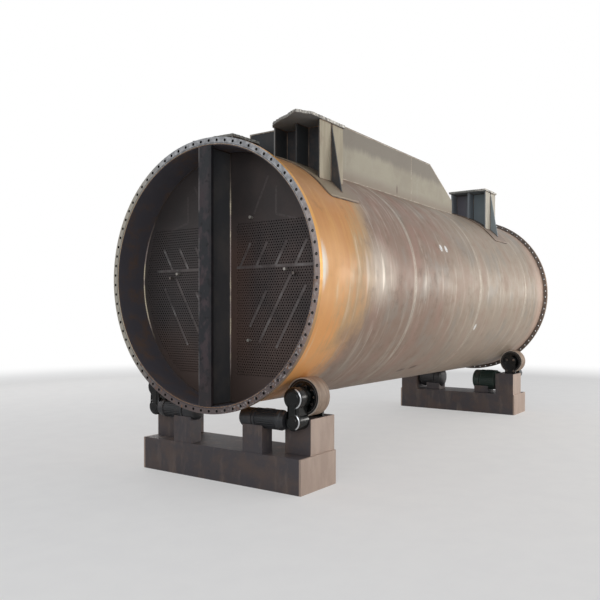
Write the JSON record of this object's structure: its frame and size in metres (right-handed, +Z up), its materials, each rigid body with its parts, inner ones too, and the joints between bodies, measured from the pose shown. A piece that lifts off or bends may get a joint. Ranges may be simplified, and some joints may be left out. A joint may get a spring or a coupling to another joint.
{
  "type": "shell and tube heat exchanger on turning rolls",
  "caption": "Horizontal steel shell and tube exchanger, open at both flanged ends, with tube sheets, pass partitions, feet and hotwell, lying on powered turning rolls.",
  "frame": {"origin": "on the floor, under the middle of the shell", "axes": "+X along the shell from the front water box to the rear one, +Y across it, +Z up"},
  "size_m": [7.75, 2.9, 4.09],
  "materials": {
    "shell_plate": "rusty hot rolled plate",
    "flange_steel": "machined, lightly rusted",
    "tube_sheet_steel": "dark, rusty",
    "partition_steel": "dark mottled mill scale",
    "hotwell_plate": "dusty plate with a browned upper band",
    "foot_plate": "pale dusty plate with torch-cut edges",
    "stand_paint": "worn dark paint",
    "black_paint": "glossy black paint",
    "motor_paint": "dark green paint",
    "tyre_rubber": "dusty"
  },
  "bodies": {
    "vessel": {"shell_course_1": "shell_plate", "shell_course_2": "shell_plate", "shell_course_3": "shell_plate", "shell_course_4": "shell_plate", "front_flange": "flange_steel", "rear_flange": "flange_steel", "front_tube_sheet": "tube_sheet_steel", "rear_tube_sheet": "tube_sheet_steel", "front_partition": "partition_steel", "rear_partition": "partition_steel", "front_partition_bar": "partition_steel", "rear_partition_bar": "partition_steel", "front_tie_rod_ends": "tube_sheet_steel", "rear_tie_rod_ends": "tube_sheet_steel", "hotwell_front_wall": "hotwell_plate", "hotwell_side_plates": "hotwell_plate", "hotwell_tapered_side_plates": "hotwell_plate", "hotwell_cover": "hotwell_plate", "hotwell_slope": "hotwell_plate", "hotwell_end_wall": "hotwell_plate", "foot_pads": "foot_plate", "foot_webs": "foot_plate", "foot_front_ribs": "foot_plate", "foot_rear_ribs": "foot_plate", "front_base_plates": "foot_plate", "rear_base_plates": "foot_plate"},
    "roll_stand": {"front_base_beam": "stand_paint", "rear_base_beam": "stand_paint", "front_roll_posts": "stand_paint", "rear_roll_posts": "stand_paint", "front_bearing_plates": "black_paint", "rear_bearing_plates": "black_paint", "front_gear_cases": "black_paint", "rear_gear_cases": "black_paint", "front_motors": "motor_paint", "rear_motors": "motor_paint", "front_motor_pedestals": "stand_paint", "rear_motor_pedestals": "stand_paint"},
    "front_right_roll": {"wheel_front_right": "black_paint", "tyre_front_right": "tyre_rubber"},
    "front_left_roll": {"wheel_front_left": "black_paint", "tyre_front_left": "tyre_rubber"},
    "rear_right_roll": {"wheel_rear_right": "black_paint", "tyre_rear_right": "tyre_rubber"},
    "rear_left_roll": {"wheel_rear_left": "black_paint", "tyre_rear_left": "tyre_rubber"}
  },
  "joints": [
    {"name": "vessel_turn", "type": "hinge", "parent": "roll_stand", "child": "vessel", "pos_m": [0, 0, 2.19], "axis": [1, 0, 0], "range_deg": [-90, 90]},
    {"name": "front_right_roll_turn", "type": "hinge", "parent": "roll_stand", "child": "front_right_roll", "pos_m": [-3.385, -0.9875, 0.94855], "axis": [1, 0, 0], "range_deg": [-630, 630]},
    {"name": "front_left_roll_turn", "type": "hinge", "parent": "roll_stand", "child": "front_left_roll", "pos_m": [-3.385, 0.9875, 0.94855], "axis": [1, 0, 0], "range_deg": [-630, 630]},
    {"name": "rear_right_roll_turn", "type": "hinge", "parent": "roll_stand", "child": "rear_right_roll", "pos_m": [3.285, -0.9875, 0.94855], "axis": [1, 0, 0], "range_deg": [-630, 630]},
    {"name": "rear_left_roll_turn", "type": "hinge", "parent": "roll_stand", "child": "rear_left_roll", "pos_m": [3.285, 0.9875, 0.94855], "axis": [1, 0, 0], "range_deg": [-630, 630]}
  ],
  "couplings": [
    {"joint": "front_right_roll_turn", "follows": "vessel_turn", "ratio": -6.93},
    {"joint": "front_left_roll_turn", "follows": "vessel_turn", "ratio": -6.93},
    {"joint": "rear_right_roll_turn", "follows": "vessel_turn", "ratio": -6.93},
    {"joint": "rear_left_roll_turn", "follows": "vessel_turn", "ratio": -6.93}
  ]
}
